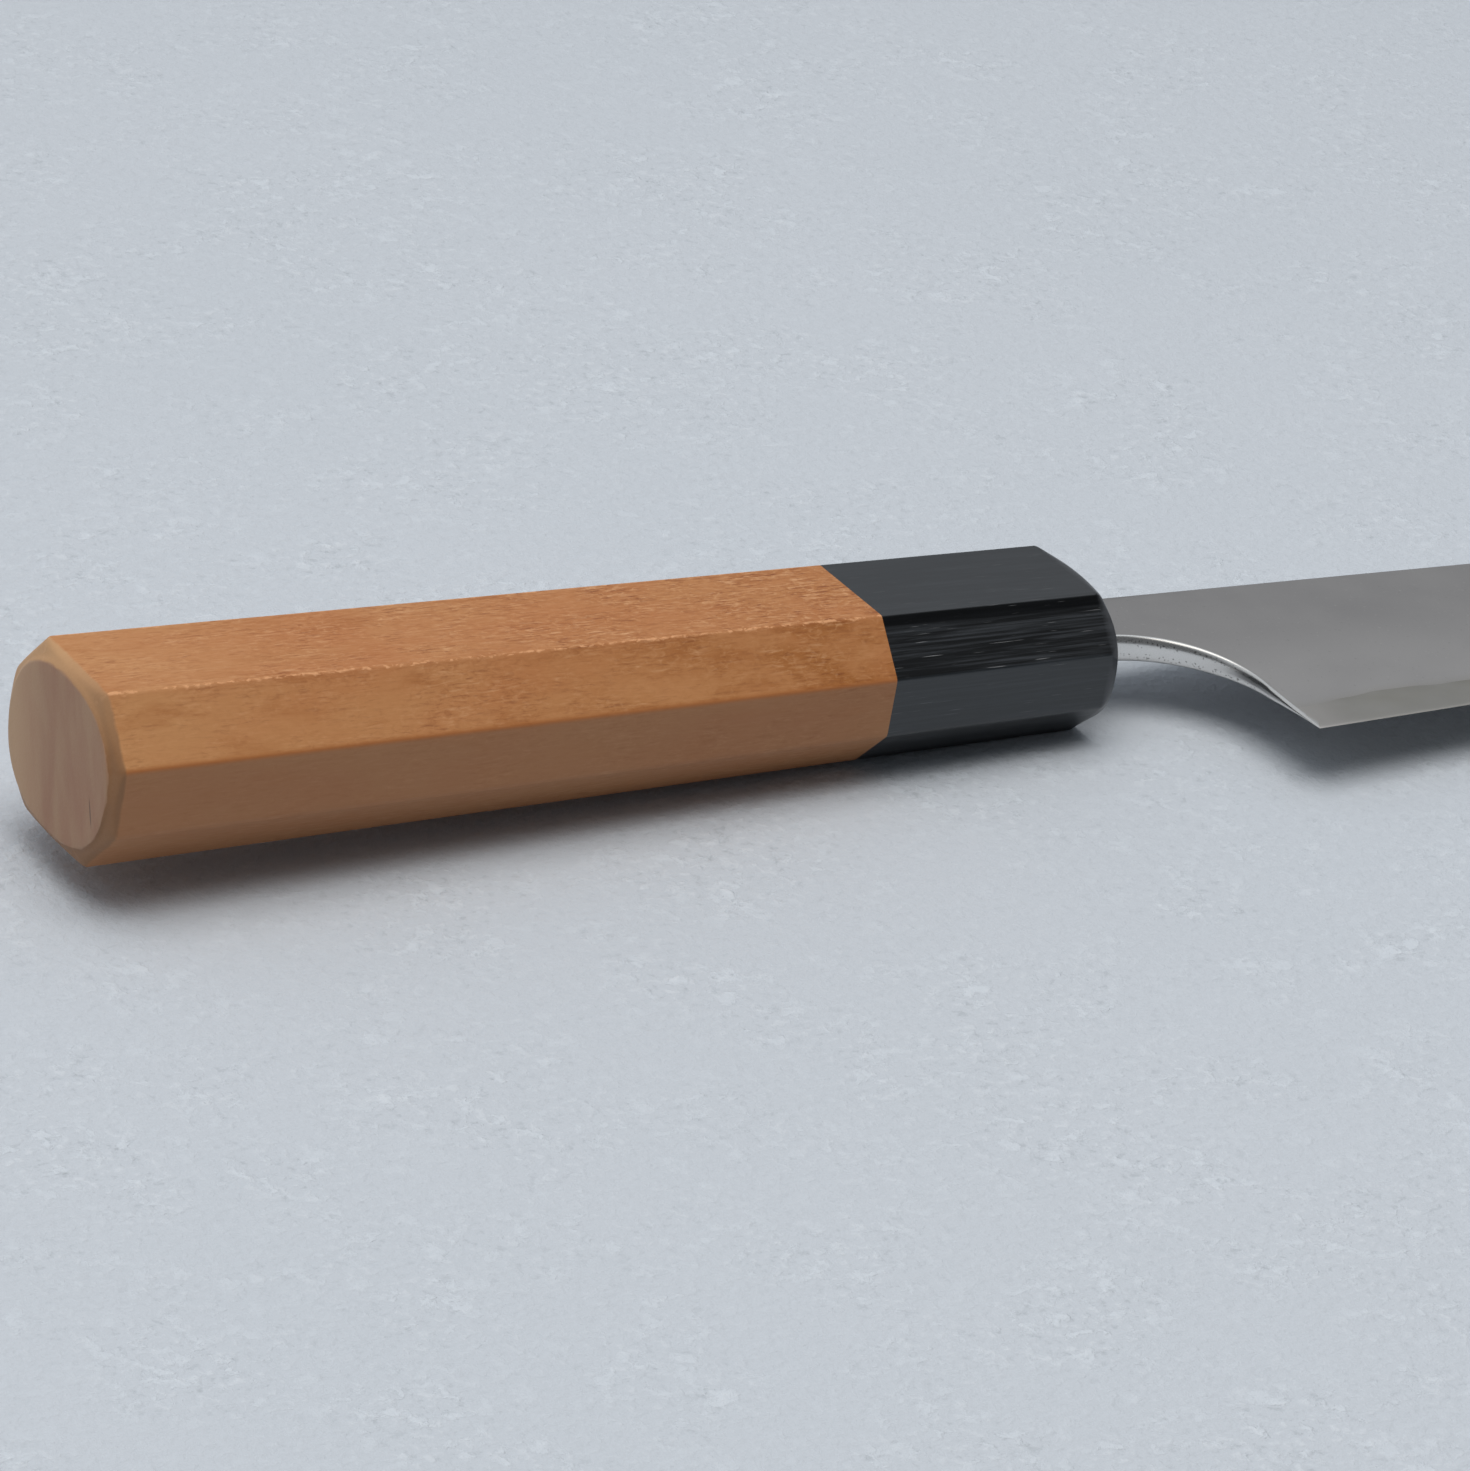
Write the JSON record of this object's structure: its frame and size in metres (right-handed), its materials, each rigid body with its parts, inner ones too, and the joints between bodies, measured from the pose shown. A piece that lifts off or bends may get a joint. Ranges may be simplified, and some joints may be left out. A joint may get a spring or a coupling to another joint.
{
  "type": "petty knife",
  "caption": "Slim kitchen knife with a laminated double-bevel blade, a swept heel notch, and an octagonal wooden handle with a black ferrule, for small cutting and peeling work.",
  "frame": {"origin": "centre of the butt's flat end face, on the handle's axis", "axes": "+X along the handle towards the tip, +Y towards the spine, +Z out of the blade's right face"},
  "size_m": [0.283, 0.0368, 0.0186],
  "materials": {
    "core_steel": "fine satin, with a polished bevel at the edge",
    "cladding_steel": "matt satin",
    "handle_wood": "oiled, close-grained orange-brown wood",
    "ferrule_wood": "black wood with long dark grain, buffed to a satin sheen",
    "dowel_wood": "plain turned hardwood",
    "resin": "cured resin"
  },
  "bodies": {
    "root": {"core_steel": "core_steel", "right_cladding": "cladding_steel", "left_cladding": "cladding_steel", "handle_body": "handle_wood", "ferrule": "ferrule_wood", "tenon_dowel": "dowel_wood", "tang_resin": "resin"}
  },
  "joints": []
}
